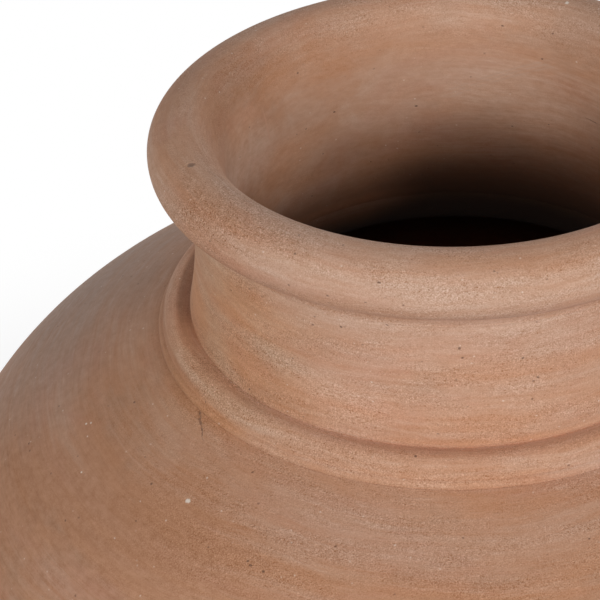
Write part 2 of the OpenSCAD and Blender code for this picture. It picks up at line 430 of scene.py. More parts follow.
    def roll_run(self):
        """Out along the rim's ledge, and round its roll up to the crown."""
        s, middle = self.s, (self.crown_r, self.roll_z)
        lr, lz = ellipse(middle, s.roll_w, s.roll_h, -self.crease_a, 0, 30)
        ur, uz = ellipse(middle, s.roll_w, s.crown_h, 0, math.pi / 2, 34)
        return np.concatenate([
            rows([self.neck_top_r], [self.crease_z], 1),
            rows(lr, lz, 1),
            rows(ur[1:], uz[1:], 1),
        ])

    def flare_run(self):
        """Down the mouth's flare to the rim's seam, while the outside turns into the inside."""
        middle, half_w = (self.crown_r, self.flare_z), self.throat_r - self.crown_r
        end = math.asin((self.crease_z - self.flare_z) / self.s.flare_h)
        r, z = ellipse(middle, half_w, self.s.flare_h, math.pi / 2, end, 40)
        return rows(r, z, smooth(self.crease_z, self.top_z, z))

    def throat_run(self):
        """Down the neck's bore."""
        z = spaced(self.crease_z, self.seat_z, 0.0016)
        return rows(self.bore_r(z), z, 0)

    def inner_run(self, n):
        """Down the inside of a course. The top course starts at the opening under the neck, and the
        lowest ends on the floor."""
        r, z = self.lining(spaced(self.course_z(n), self.course_z(n - 1), 0.0026))
        lining = rows(r, z, 0)
        if n == len(COURSES):
            lining = self.from_opening(lining)
        if n == 1:
            lining = self.onto_floor(lining)
        return lining

    def from_opening(self, lining):
        """The top course's lining, with the opening and the seat's underside before it."""
        low = self.seat_z - self.s.wall
        flat = lining[:, 1] >= low - 1e-9
        flat_r = spaced(self.opening_r, lining[flat][-1, 0], 0.002)
        whole = np.concatenate([
            rows([self.opening_r] * 3, np.linspace(self.seat_z, low, 4)[:3], 0),
            rows(flat_r, low, 0),
            lining[~flat],
        ])
        return eased(whole, (self.opening_r, low), 0.003)

    def onto_floor(self, lining):
        """The lowest course's lining, ended by the round corner onto the floor."""
        s = self.s
        middle = (self.wall_foot_in_r, s.floor_t + s.floor_fillet_r)
        r, z = ellipse(
            middle, s.floor_fillet_r, s.floor_fillet_r, -s.foot_taper, -math.pi / 2, 14
        )
        above = lining[:, 1] > z[0] + 0.0005
        return np.concatenate([lining[above], rows(r, z, 0)])

    def floor_run(self):
        """In across the floor, and down the drain hole."""
        s, hole_r = self.s, self.s.drain_d / 2
        floor = np.concatenate([
            rows(spaced(self.wall_foot_in_r, hole_r, 0.005), s.floor_t, 0),
            rows([hole_r] * 4, np.linspace(s.floor_t, s.foot_hollow, 5)[1:], 0),
        ])
        return eased(floor, (hole_r, s.floor_t), 0.0015)

    def measure(self):
        """Distance along the whole outline at which each run starts."""
        starts, total = {}, 0.0
        for name, points in self.runs.items():
            starts[name] = total
            total += travelled(points)[-1]
        return starts

    def reach(self, run, at):
        """Distance along the whole outline at which a run passes a height, or on the cordon, whose
        outline turns down again, a radius."""
        points = self.runs[run]
        level = points[:, 0 if run == "cordon" else 1]
        order = np.argsort(level, kind="stable")
        return self.starts[run] + float(np.interp(at, level[order], travelled(points)[order]))

    def outline(self, parts):
        """Joins runs and seams into one closed outline, with the distance along the whole outline
        as a fourth column. A seam, which no one sees, takes the distance that ended before it."""
        whole, last = [], 0.0
        for part in parts:
            if isinstance(part, str):
                points = self.runs[part]
                travel = self.starts[part] + travelled(points)
            else:
                points, travel = part, np.full(len(part), last)
            last = travel[-1]
            whole.append(np.column_stack([points, travel]))
        whole = np.concatenate(whole)
        step = np.hypot(*(whole - np.roll(whole, 1, 0))[:, :2].T)
        return whole[step > 1e-6]

    def pieces(self):
        """The closed outline of every piece, by the name of the clay piece it stands for."""
        s = self.s
        floor_seam = self.keyed(
            (self.skin_r(s.floor_t), s.floor_t), (self.wall_foot_in_r, s.floor_t)
        )
        neck_seam = self.keyed((self.neck_seat_r, self.seat_z), (self.opening_r, self.seat_z))
        rim_seam = self.keyed(
            (self.neck_top_r, self.crease_z), (float(self.bore_r(self.crease_z)), self.crease_z)
        )
        cordon_seat = rows([self.neck_seat_r, self.cordon_r], [self.seat_z] * 2, 1)
        pieces = {
            "floor_slab": ["under", floor_seam, "floor_top"],
            "neck_cordon": [cordon_seat, "cordon"],
            "neck_collar": [neck_seam[::-1], "neck_outer", rim_seam, "neck_inner"],
            "rim_roll": [rim_seam[::-1], "rim_outer", "rim_inner"],
        }
        seams = [floor_seam, *(self.course_seam(n) for n in range(1, len(COURSES))), neck_seam]
        for n, name in enumerate(COURSES, 1):
            pieces[name] = [seams[n - 1][::-1], f"outer{n}", seams[n], f"inner{n}"]
        return {name: self.outline(parts) for name, parts in pieces.items()}


# The turned surface --------------------------------------------------------------------------


def turning_ridges(angle, height, pitch, seed):
    """Height from -1 to 1 of the rings left by turning: three sine waves up the wall, each faded by
    slower waves. Their spacings differ, and their phases drift once or twice round the jar."""
    draw = np.random.default_rng(seed)
    total = 0.0
    for weight, ratio, turns in ((0.50, 1.0, 1), (0.30, 0.57, 2), (0.20, 1.83, -1)):
        phase, slow, start = draw.uniform(0, 2 * math.pi, 3)
        wave = 2 * math.pi * height / (pitch * ratio)
        fade = 0.65 + 0.35 * np.sin(wave / 4.7 + 2 * angle + slow) * np.sin(angle + start)
        total = total + weight * fade * np.sin(wave + turns * angle + phase)
    return total


def out_of_round(angle, height, seed):
    """Height from -1 to 1 of a wall's slow stray from a circle: waves of 2, 3 and 5 lobes."""
    draw = np.random.default_rng(seed)
    total = 0.0
    for weight, lobes, climb in ((0.55, 2, 2.1), (0.30, 3, -5.0), (0.15, 5, 9.0)):
        total = total + weight * np.sin(lobes * angle + climb * height + draw.uniform(0, 6.28))
    return total


def hand_push(section, marks, angle, height, side):
    """How far out a point of the true turned shape is pushed: its stray from a circle, plus the
    outer push times side, plus the inner push times 1 - side, all fading out at the foot. The outer
    push is the turning ridges and the line under the rim: a burr b exp(-((z-z0)/w)^2) with the wall
    above it wiped in by 0.6 b, sharpest at the front left. The inner push is the finger ridges,
    which nearly die out up the neck."""
    steady = smooth(0.0, 0.03, height)
    stray = marks.out_of_round * out_of_round(angle, height, 3)
    ridges = marks.turning_ridge * turning_ridges(angle, height, marks.turning_pitch, 11)
    above = height - section.line_z
    sharp = 0.25 + 0.75 * (0.5 - 0.5 * np.sin(angle + math.radians(55))) ** 0.8
    burr = np.exp(-(above / 0.00055) ** 2)
    wiped = 0.6 * smooth(0.0, 0.0012, above) * smooth(0.0, 0.003, section.crease_z - height)
    outer = ridges + marks.seam_burr * sharp * (burr - wiped)
    deep = smooth(section.seat_z + 0.03, section.seat_z - 0.03, height)
    fingers = marks.finger_ridge * turning_ridges(angle, height, marks.finger_pitch, 23)
    return steady * (stray + side * outer + (1 - side) * (0.12 + 0.88 * deep) * fingers)


def gridded(*parts):
    """Brings parts to one grid of points, and lists them point by point."""
    return np.stack(np.broadcast_arrays(*parts), -1).reshape(-1, len(parts))


def joined_faces(count, segments):
    """The faces between the rows and the angles of a grid. The last angle joins the first, and the
    last row the first."""
    row, col = np.arange(count)[:, None] * segments, np.arange(segments)
    up, round_on = np.roll(row, -1, 0), np.roll(col, -1)
    return gridded(row + col, row + round_on, up + round_on, up + col)


def skinned(name, co, quads):
    """A mesh of points and faces, smooth except at its corners. Six times the volume within, the
    sum of p0 . (p1 x p2 + p2 x p3), is below 0 where the faces look in, and they are turned."""
    p0, p1, p2, p3 = (co[quads[:, k]] for k in range(4))
    if np.einsum("ij,ij->", p0, np.cross(p1, p2) + np.cross(p2, p3)) < 0:
        quads = quads[:, ::-1]
    mesh = bpy.data.meshes.new(name)
    mesh.vertices.add(len(co))
    mesh.vertices.foreach_set("co", co.astype(np.float32).ravel())
    mesh.loops.add(quads.size)
    mesh.loops.foreach_set("vertex_index", quads.astype(np.int32).ravel())
    mesh.polygons.add(len(quads))
    mesh.polygons.foreach_set("loop_start", np.arange(0, quads.size, 4, dtype=np.int32))
    mesh.update(calc_edges=True)
    mesh.validate()
    mesh.shade_smooth()
    mesh.set_sharp_from_angle(angle=math.radians(38))
    return mesh


def turn(name, outline, section, marks, segments):
    """Turns a closed outline about Z: x = R cos a, y = R sin a, with R = r + push(a, z), for a grid
    of angles a and outline rows (r, z). The rim's level strays by l sin(2a + p). The attribute
    turning holds (w cos a, w sin a, distance along the outline), on which rings run level without
    a seam, and inside holds 1 minus the side."""
    way_r = 0.15
    a = (np.arange(segments) * 2 * math.pi / segments)[None, :]
    r, z, side, travel = (outline[:, k][:, None] for k in range(4))
    radius = r + hand_push(section, marks, a, z, side)
    lift = marks.rim_lift * smooth(section.groove_z, section.top_z, z) * np.sin(2 * a + 0.7)
    co = gridded(radius * np.cos(a), radius * np.sin(a), z + lift)
    mesh = skinned(name, co, joined_faces(len(outline), segments))
    way = gridded(way_r * np.cos(a), way_r * np.sin(a), travel).astype(np.float32)
    mesh.attributes.new("turning", "FLOAT_VECTOR", "POINT").data.foreach_set("vector", way.ravel())
    within = np.repeat(1 - side, segments).astype(np.float32)
    mesh.attributes.new("inside", "FLOAT", "POINT").data.foreach_set("value", within)
    piece = bpy.data.objects.new(name, mesh)
    bpy.context.scene.collection.objects.link(piece)
    return piece


# Shader maths --------------------------------------------------------------------------------


class Value:
    """An output in a node tree. Arithmetic on a number adds Math nodes."""

    def __init__(self, tree, socket):
        self.tree, self.socket = tree, socket

    def beside(self, name):
        """Another output of the same node."""
        return Value(self.tree, self.socket.node.outputs[name])

    def maths(self, operation, *terms):
        """The Math node of an operation on the terms."""
        node = self.tree.nodes.new("ShaderNodeMath")
        node.operation = operation
        for slot, term in zip(node.inputs, terms):
            if isinstance(term, Value):
                self.tree.links.new(term.socket, slot)
            else:
                slot.default_value = float(term)
        return Value(self.tree, node.outputs[0])

    def __add__(self, other):
        return self.maths("ADD", self, other)

    __radd__ = __add__

    def __sub__(self, other):
        return self.maths("SUBTRACT", self, other)

    def __rsub__(self, other):
        return self.maths("SUBTRACT", other, self)

    def __mul__(self, other):
        return self.maths("MULTIPLY", self, other)

    __rmul__ = __mul__

    def greatest(self, other):
        return self.maths("MAXIMUM", self, other)

    def least(self, other):
        return self.maths("MINIMUM", self, other)


class Bench:
    """The node tree of a material or a world, and the ways to add to it."""

    def __init__(self, owner):
        owner.use_nodes = True
        self.tree = owner.node_tree
        self.tree.nodes.clear()

    def add(self, kind, settings=None, sockets=None, out=0):
        """Adds a node of a type, makes its settings first, then fills its sockets with values or
        links, and hands back one of its outputs, by name or number."""
        node = self.tree.nodes.new(kind)
        for key, setting in (settings or {}).items():
            if key == "stops":
                ramp = node.color_ramp
                while len(ramp.elements) < len(setting):
                    ramp.elements.new(1.0)
                for stop, (at, colour) in zip(ramp.elements, setting):
                    stop.position, stop.color = at, (*colour, 1.0)
            else:
                setattr(node, key, setting)
        for key, term in (sockets or {}).items():
            slot = node.inputs[key]
            if isinstance(term, Value):
                self.tree.links.new(term.socket, slot)
            elif slot.type == "RGBA" and len(term) == 3:
                slot.default_value = (*term, 1.0)
            else:
                slot.default_value = term
        return Value(self.tree, node.outputs[out]) if node.outputs else None

    def mix(self, first, second, factor, blend="MIX"):
        """A colour from first to second by the factor."""
        return self.add(
            "ShaderNodeMix", {"data_type": "RGBA", "blend_type": blend, "clamp_factor": True},
            {0: factor, 6: first, 7: second}, out=2,
        )

    def tinted(self, colour, levels):
        """The colour with its red, green and blue times three levels."""
        tint = self.add("ShaderNodeCombineXYZ", {}, dict(enumerate(levels)))
        return self.mix(colour, tint, 1.0, "MULTIPLY")

    def noise(self, vector, scale, detail=2.0, roughness=0.5, distortion=0.0):
        """Fractal noise from 0 to 1, about 0.5 in the middle."""
        return self.add(
            "ShaderNodeTexNoise", {"noise_dimensions": "3D"},
            {"Vector": vector, "Scale": scale, "Detail": detail, "Roughness": roughness,
             "Distortion": distortion},
        )

    def stretched(self, vector, across, along, offset=(0.0, 0.0, 0.0)):
        """The vector times (across, across, along), moved by offset."""
        return self.add(
            "ShaderNodeMapping", {},
            {"Vector": vector, "Scale": (across, across, along), "Location": offset},
        )

    def ease(self, x, low, high, bottom=0.0, top=1.0):
        """bottom below low, top above high, smoothly between. low may be above high."""
        if low > high:
            low, high, bottom, top = high, low, top, bottom
        return self.add(
            "ShaderNodeMapRange", {"interpolation_type": "SMOOTHSTEP", "clamp": True},
            {"Value": x, "From Min": low, "From Max": high, "To Min": bottom, "To Max": top},
        )

    def band(self, x, low, high, soft):
        """1 between low and high, falling to 0 within soft of them."""
        return self.ease(x, low - soft, low) * self.ease(x, high + soft, high)

    def rings(self, x, stops):
        """A level that passes through the stops, each a place along x and half its level there."""
        low, high = stops[0][0], stops[-1][0]
        along = self.add(
            "ShaderNodeMapRange", {"interpolation_type": "LINEAR", "clamp": True},
            {"Value": x, "From Min": low, "From Max": high},
        )
        greys = [((at - low) / (high - low), (level / 2,) * 3) for at, level in stops]
        return 2 * self.add("ShaderNodeValToRGB", {"stops": greys}, {"Fac": along})

    def cells(self, vector, scale):
        """Distance to the nearest of scattered points, and that point's random colour."""
        near = self.add(
            "ShaderNodeTexVoronoi", {"feature": "F1", "voronoi_dimensions": "3D"},
            {"Vector": vector, "Scale": scale},
        )
        return near, near.beside("Color")

    def split(self, vector, part):
        """One part, 0 to 2, of a vector or colour."""
        return self.add("ShaderNodeSeparateXYZ", {}, {0: vector}, out=part)

    def shifted(self, vector, rise):
        """The vector with rise added to its third part."""
        up = self.add("ShaderNodeCombineXYZ", {}, {2: rise})
        return self.add("ShaderNodeVectorMath", {"operation": "ADD"}, {0: vector, 1: up})

    def shaken(self, vector, scale, reach):
        """The vector moved by noise, by up to about half the reach each way, so that round marks
        get ragged edges."""
        tint = self.noise(vector, scale, 1.0).beside("Color")
        away = self.add(
            "ShaderNodeVectorMath", {"operation": "SUBTRACT"}, {0: tint, 1: (0.5, 0.5, 0.5)}
        )
        away = self.add("ShaderNodeVectorMath", {"operation": "SCALE"}, {0: away, "Scale": reach})
        return self.add("ShaderNodeVectorMath", {"operation": "ADD"}, {0: vector, 1: away})

    def mark(self, place, centre, width, height, along=None, edge=(1.15, 0.65)):
        """1 in the middle of an oval mark and 0 past its edge. Its long way lies along a direction,
        or else round the jar: the gap to its centre is turned that way and measured in half widths,
        and the mark fades between the two spans of its edge."""
        along = Vector(along or (-centre[1], centre[0], 0.0))
        gap = self.add(
            "ShaderNodeMapping", {"vector_type": "TEXTURE"},
            {"Vector": place, "Location": centre,
             "Rotation": along.to_track_quat("X", "Z").to_euler(), "Scale": (width, width, height)},
        )
        span = self.add("ShaderNodeVectorMath", {"operation": "LENGTH"}, {0: gap}, out="Value")
        return self.ease(span, *edge)

    def looked_at(self):
        """1 where the camera looks straight, and 1 where it looks straight or by way of a mirror or
        glass."""
        seen = self.add("ShaderNodeLightPath", out="Is Camera Ray")
        by_any_way = seen + seen.beside("Is Glossy Ray") + seen.beside("Is Transmission Ray")
        return seen, by_any_way.least(1.0)


# The fired clay ------------------------------------------------------------------------------

# Marks that show one by one: centre, half width round the jar and half height, in metres
LIME_SPECKS = (
    ((-0.1371, -0.1285, 0.4733), 0.0018, 0.0009), ((-0.1895, -0.0547, 0.4678), 0.0009, 0.0006),
    ((-0.1872, -0.0559, 0.4691), 0.0010, 0.0006), ((-0.1885, -0.0639, 0.4668), 0.0008, 0.0006),
    ((-0.1910, -0.0845, 0.4601), 0.0008, 0.0006), ((-0.0212, -0.1872, 0.4731), 0.0009, 0.0006),
    ((0.0702, 0.1071, 0.6079), 0.0012, 0.0008),
)
DARK_FLECKS = (
    ((-0.1265, -0.0449, 0.6083), 0.0027, 0.0016), ((-0.0434, -0.1412, 0.6001), 0.0009, 0.0006),
    ((-0.0604, -0.1156, 0.5600), 0.0008, 0.0006), ((-0.0071, -0.1299, 0.5546), 0.0008, 0.0010),
    ((-0.0057, -0.1297, 0.5491), 0.0007, 0.0007), ((0.0222, -0.1278, 0.5460), 0.0007, 0.0007),
    ((0.0294, -0.1267, 0.5341), 0.0008, 0.0006), ((-0.0286, -0.1399, 0.5020), 0.0009, 0.0006),
    ((-0.1079, -0.1689, 0.4658), 0.0012, 0.0009), ((-0.1020, -0.1731, 0.4653), 0.0010, 0.0008),
    ((-0.0552, 0.0964, 0.5554), 0.0009, 0.0007), ((-0.0103, 0.1106, 0.5488), 0.0012, 0.0008),
)
# Hairline cracks: their two ends
CRACKS = (
    ((-0.1341, -0.0753, 0.4909), (-0.1303, -0.0977, 0.4860)),
    ((0.0770, 0.0800, 0.5537), (0.0848, 0.0719, 0.5528)),
)
# A scratch that bared redder clay: its two ends
SCRATCH = ((-0.0932, 0.0617, 0.5791), (-0.0893, 0.0660, 0.5526))
# Lines left where fingers lifted off the inside: their heights over +X, and how fast they fall
# round the jar towards +Y, in metres per radian
FINGER_LINES = (0.6252, 0.6275, 0.6296)
FINGER_CLIMB = 0.0481
# Soft patches: centre, half width round the jar, half height, bloom gained, and painted light
# gained, which is painted shade where it is below 0
BLOOM_AND_PAINTED_LIGHT_PATCHES = (
    ((-0.078, -0.125, 0.600), 0.050, 0.014, 0.25, 0.04),
    ((-0.138, -0.025, 0.606), 0.065, 0.020, -0.22, 0.02),
    ((-0.118, -0.084, 0.588), 0.050, 0.024, -0.48, 0.00),
    ((-0.112, 0.045, 0.600), 0.065, 0.020, -0.42, -0.18),
    ((-0.105, 0.036, 0.560), 0.055, 0.022, 0.30, 0.20),
    ((-0.085, 0.071, 0.535), 0.045, 0.030, 0.10, 0.20),
    ((0.040, 0.103, 0.555), 0.060, 0.032, 0.20, 0.10),
    ((0.020, 0.118, 0.600), 0.095, 0.014, 0.15, 0.13),
    ((-0.062, -0.115, 0.520), 0.045, 0.018, 0.35, 0.13),
    ((-0.104, -0.078, 0.550), 0.040, 0.030, -0.30, 0.05),
    ((0.031, -0.126, 0.554), 0.045, 0.016, 0.35, 0.00),
    ((-0.050, -0.155, 0.484), 0.060, 0.012, 0.15, 0.00),
    ((-0.155, -0.135, 0.458), 0.080, 0.040, -0.45, -0.07),
    ((-0.215, -0.090, 0.440), 0.080, 0.035, -0.50, -0.05),
    ((-0.165, -0.050, 0.478), 0.070, 0.020, -0.25, -0.04),
    ((-0.205, 0.060, 0.458), 0.110, 0.060, 0.10, -0.05),
    ((-0.180, -0.075, 0.466), 0.050, 0.012, -0.35, -0.04),
    ((-0.160, -0.145, 0.436), 0.060, 0.012, -0.35, 0.00),
    ((-0.106, -0.076, 0.518), 0.030, 0.016, -0.40, 0.05),
    ((-0.106, -0.076, 0.560), 0.030, 0.012, -0.25, 0.02),
    ((0.064, 0.091, 0.540), 0.045, 0.024, 0.00, 0.24),
    ((-0.104, 0.038, 0.578), 0.030, 0.016, 0.00, 0.13),
    ((0.010, 0.111, 0.532), 0.030, 0.012, 0.00, -0.08),
    ((-0.150, 0.045, 0.486), 0.060, 0.016, 0.05, -0.13),
    ((-0.131, -0.020, 0.520), 0.035, 0.030, -0.50, 0.09),
    ((-0.116, -0.059, 0.532), 0.034, 0.014, -0.50, 0.02),
    ((0.052, -0.137, 0.494), 0.040, 0.007, 0.45, 0.02),
    ((-0.127, -0.074, 0.493), 0.055, 0.008, -0.40, 0.00),
)
# Bloom left in rings by the wiping cloth: by run of the outline, a height, or on the cordon a
# radius, and the share there
OUTER_BLOOM = {
    "outer5": ((0.4400, 0.24), (0.4680, 0.26), (0.4810, 0.44), (0.4885, 0.32)),
    "cordon": (
        (0.1518, 0.30), (0.1500, 0.38), (0.1470, 0.55), (0.1412, 0.50), (0.1390, 0.44),
        (0.1360, 0.85),
    ),
    "neck_outer": (
        (0.5024, 0.34), (0.5050, 0.24), (0.5075, 0.42), (0.5110, 0.34), (0.5160, 0.32),
        (0.5195, 0.50), (0.5245, 0.60), (0.5305, 0.80), (0.5365, 0.40), (0.5460, 0.56),
        (0.5515, 0.50), (0.5600, 0.80), (0.5655, 1.00), (0.5700, 0.55),
    ),
    "rim_outer": (
        (0.5790, 0.36), (0.5850, 0.54), (0.5900, 0.80), (0.6000, 0.86), (0.6035, 0.45),
        (0.6060, 0.50), (0.6084, 0.60),
    ),
}
INNER_BLOOM = {
    "rim_inner": ((0.6080, 0.60), (0.6010, 0.50), (0.5930, 0.24), (0.5850, 0.20), (0.5765, 0.42)),
    "neck_inner": ((0.5700, 0.54), (0.5530, 0.58), (0.5400, 0.36), (0.5200, 0.15)),
}
# Painted light and shade on the outside, by rings: darker under the rim's roll and at the crease
# below it, lighter in the groove and on the neck's foot. By run, a place as above and the level
# there
OUTER_PAINTED_LIGHT = {
    "outer5": ((0.4720, 0.96), (0.4885, 1.00)),
    "cordon": (
        (0.1518, 1.01), (0.1512, 1.10), (0.1504, 1.02), (0.1497, 1.08), (0.1487, 1.01),
        (0.1476, 1.08), (0.1440, 1.15), (0.1412, 1.12), (0.1395, 1.08), (0.1380, 1.19),
        (0.1366, 1.26), (0.1350, 1.34),
    ),
    "neck_outer": (
        (0.5023, 0.98), (0.5031, 1.13), (0.5055, 1.03), (0.5280, 1.02), (0.5640, 1.02),
        (0.5650, 1.06), (0.5678, 1.00), (0.5685, 0.88), (0.5702, 0.85), (0.5712, 0.74),
    ),
    "rim_outer": (
        (0.5765, 0.72), (0.5787, 0.76), (0.5798, 0.88), (0.5845, 0.93), (0.5900, 1.00),
        (0.5980, 1.02), (0.6015, 1.06), (0.6050, 1.02),
    ),
}
# The same painted light and shade inside, by height
INNER_PAINTED_LIGHT = (
    (0.5100, 1.00), (0.5180, 0.97), (0.5260, 0.90), (0.5360, 0.90), (0.5450, 0.96),
    (0.5520, 1.00), (0.5680, 1.02), (0.6000, 1.00),
)
# Painted shade in the left part of the groove, and the left part of the strip beside it, which is
# darker with less bloom, from 0 to 1
LEFT_GROOVE_PAINTED_SHADE = {
    "cordon": ((0.1425, 0.00), (0.1405, 0.90), (0.1355, 1.00)),
    "neck_outer": ((0.5026, 0.70), (0.5036, 0.00)),
}
LEFT_STRIP = {
    "outer5": ((0.4880, 0.00),),
    "cordon": ((0.1518, 1.00), (0.1490, 1.00), (0.1482, 0.00)),
}
# Painted light and shade at the edge of the seat's opening deep inside, by height, on the left
# and on the right
DEEP_LEFT_PAINTED_LIGHT = (
    (0.4750, 0.50), (0.4780, 0.70), (0.4830, 1.00), (0.4860, 1.30), (0.4885, 1.60),
    (0.4915, 1.92), (0.4940, 1.86), (0.4980, 1.28), (0.5020, 1.06), (0.5060, 1.00),
)
DEEP_RIGHT_PAINTED_LIGHT = (
    (0.4750, 0.55), (0.4820, 0.72), (0.4880, 0.85), (0.4920, 1.10), (0.4960, 1.00),
)
# Painted shade with a grey grazing sheen on the far left side of the shoulder: centre, half
# width and half height
PAINTED_SHADE_SIDE = ((-0.210, 0.095, 0.448), 0.135, 0.070)
# The yellower side of the neck and rim
TANNED_SIDE = ((-0.125, -0.055, 0.530), 0.105, 0.085)


def along_outline(section, rings):
    """The stops of rings, which are listed run by run, as distances along the whole outline."""
    return [
        (section.reach(run, at), level) for run, stops in rings.items() for at, level in stops
    ]


class FiredClay(Bench):
    """The fired, unglazed clay, laid on in steps. Pale bloom lies over the clay's own colours,
    wiping streaks and sand make it lighter and darker, rings and patches of painted light and shade
    come over them, single marks come on top, and painted shade darkens the inside under the neck.
    The bump is the sand, the streaks, the pits and the specks."""

    def __init__(self, tones, section):
        self.material = bpy.data.materials.new(CLAY)
        super().__init__(self.material)
        self.tones, self.section = tones, section
        self.place = self.add("ShaderNodeTexCoord", out="Object")
        self.way = self.attribute("turning", "Vector")
        self.inside = self.attribute("inside", "Fac")
        self.outside = 1 - self.inside
        self.x, self.y, self.z = (self.split(self.place, part) for part in range(3))
        self.travel = self.split(self.way, 2)
        self.left = self.ease(self.x, -0.06, -0.14)
        self.shoulder = self.ease(self.z, section.seat_z - 0.004, section.seat_z - 0.05)

        # Slow patches, drawn out round the jar, and where the cloth left the sand bare
        self.cloud = self.drawn(self.way, 9.0, 22.0, (0.0, 0.0, 0.0), 5.0, 0.6, 0.6)
        self.veil = self.drawn(self.way, 7.0, 48.0, (3.1, 0.4, 0.0), 5.0, 0.62, 0.4)
        self.drift = self.drawn(self.way, 12.0, 30.0, (0.0, 7.7, 2.0), 5.0, 0.65, 0.8)
        self.smoke = self.drawn(self.way, 14.0, 24.0, (5.0, 1.0, 9.0), 5.0, 0.65)
        self.bared = self.drawn(self.way, 22.0, 90.0, (2.0, 6.0, 4.0), 4.0, 0.6, 0.5)
        # Wiping streaks and hairlines, which waver up and down by a few millimetres. On the left of
        # the inside the cloth was dabbed rather than drawn round
        self.waver = self.drawn(self.way, 11.0, 16.0, (4.0, 4.0, 1.0), 2.0) * 0.018
        wiped = self.shifted(self.way, self.waver)
        self.streak = self.drawn(wiped, 20.0, 300.0, (0.0, 0.0, 0.0), 5.0, 0.7, 0.25)
        self.hairline = self.drawn(wiped, 60.0, 1100.0, (1.0, 2.0, 3.0), 3.0, 0.6)
        dabbed = self.ease(self.x, 0.03, -0.05) * self.inside
        self.dabs = (self.noise(self.place, 42.0, 4.0, 0.6, 0.8) - 0.5) * dabbed
        self.wiping = 1 - dabbed * 0.75
        # Sand and grit, and the place shaken a little, which gives round marks ragged edges
        self.ragged = self.shaken(self.place, 900.0, 0.0006)
        self.sand = self.noise(self.stretched(self.place, 1.0, 1.25), 1450.0, 2.0, 0.6) - 0.5
        near, chance = self.cells(self.ragged, 950.0)
        self.grit = (self.split(chance, 0) - 0.5) * self.ease(near, 0.55, 0.25)
        self.coarse = self.coarseness()

    def attribute(self, name, out):
        """What the turned mesh holds under a name."""
        return self.add(
            "ShaderNodeAttribute", {"attribute_type": "GEOMETRY", "attribute_name": name}, out=out
        )

    def drawn(self, vector, across, along, offset, detail, roughness=0.5, distortion=0.0):
        """Noise from -0.5 to 0.5, drawn out across the third part of a vector."""
        vector = self.stretched(vector, across, along, offset)
        return self.noise(vector, 1.0, detail, roughness, distortion) - 0.5

    def line(self, place, ends, parts, thickness, edge):
        """A thin mark between two ends, reaching a length / parts each way from its middle."""
        start, end = (Vector(point) for point in ends)
        half = (end - start).length / parts
        return self.mark(place, (start + end) / 2, half, thickness, end - start, edge)

    def scattered(self, flat, offset, scale, sizes, part, odds):
        """Flattened spots at scattered points. Each point's chance is one part of its random
        colour, and says how strong the spot is."""
        near, chance = self.cells(self.stretched(self.ragged, 1.0, flat, offset), scale)
        return self.ease(near, *sizes) * self.ease(self.split(chance, part), *odds)

    def coarseness(self):
        """How much the sand shows: little inside and at the far left, more on the neck's left, less
        where the left was wiped flat towards the back, and most where the cloth left it bare."""
        on_neck = self.ease(self.z, self.section.seat_z, self.section.groove_z, 0.05, 0.75)
        unwiped = 1 - 0.7 * self.left * self.ease(self.y, -0.08, -0.01)
        coarse = 0.80 * self.ease(self.x, -0.20, -0.10) + on_neck * self.left
        coarse = 0.18 + self.outside * coarse * unwiped
        return coarse * self.ease(self.bared, -0.14, 0.14, 0.50, 1.30)

    def bloom_and_painted_light(self):
        """How much bloom lies on the clay, and the painted light and shade on it: by rings along
        the outline, of which those of bloom waver by a millimetre or two, and by soft patches. On
        the left the groove is painted darker, a painted shade, and the strip beside it is darker,
        both with less bloom."""
        section, swayed = self.section, self.travel + self.waver * 0.25
        bloom = (
            self.rings(swayed, along_outline(section, OUTER_BLOOM)) * self.outside
            + self.rings(swayed, along_outline(section, INNER_BLOOM)) * self.inside
        )
        light = (
            self.rings(self.travel, along_outline(section, OUTER_PAINTED_LIGHT)) * self.outside
            + self.rings(self.z, INNER_PAINTED_LIGHT) * self.inside
        )
        # Each patch adds bloom, and its lift adds painted light; where the lift is below 0 it is
        # painted shade
        for centre, width, height, gain, lift in BLOOM_AND_PAINTED_LIGHT_PATCHES:
            patch = self.mark(self.place, centre, width, height, edge=(1.0, 0.1))
            bloom, light = bloom + patch * gain, light + patch * lift
        # Painted shade darkens the left part of the groove, and the strip beside it is darker, both
        # with less bloom
        for rings, where, wiped_off, loss in (
            (LEFT_GROOVE_PAINTED_SHADE, self.ease(self.y, -0.045, 0.000) * self.left, 0.6, 0.38),
            (LEFT_STRIP, self.ease(self.x, -0.125, -0.145), 0.5, 0.15),
        ):
            dark = self.rings(self.travel, along_outline(section, rings)) * where * self.outside
            bloom, light = bloom - dark * wiped_off, light * (1 - dark * loss)
        return bloom, light

    def broken_up(self, bloom):
        """The bloom as it shows, from 0 to 1, broken up by patches, streaks, dabs and bare sand."""
        pale = bloom - 0.10 + self.cloud * 1.5 + self.streak * 1.2 * self.wiping
        pale = pale + self.dabs * 1.1 + self.bared * 0.5 * self.outside
        return pale.greatest(0.0).least(1.0)

    def fired(self, bloom, pale):
        """The clay's own colour, which goes to rosy, warm and ashen by slow patches, then the
        bloom, the painted shade and grey grazing sheen on the far left side of the shoulder, and
        the tanned side of the neck and rim."""
        tones = self.tones
        colour = self.mix(tones.body, tones.rosy, self.ease(self.drift, -0.05, 0.14) * 0.55)
        warm = (self.veil * 2.2 + 0.52 - bloom * 0.55).greatest(0.0).least(1.0)
        colour = self.mix(colour, tones.warm, warm * 0.85)
        ash = self.ease(self.smoke + 0.04 * self.left * self.shoulder, 0.02, 0.22)
        colour = self.mix(colour, tones.ashen, ash * 0.5)
        colour = self.mix(colour, tones.bloom, pale * 0.92)
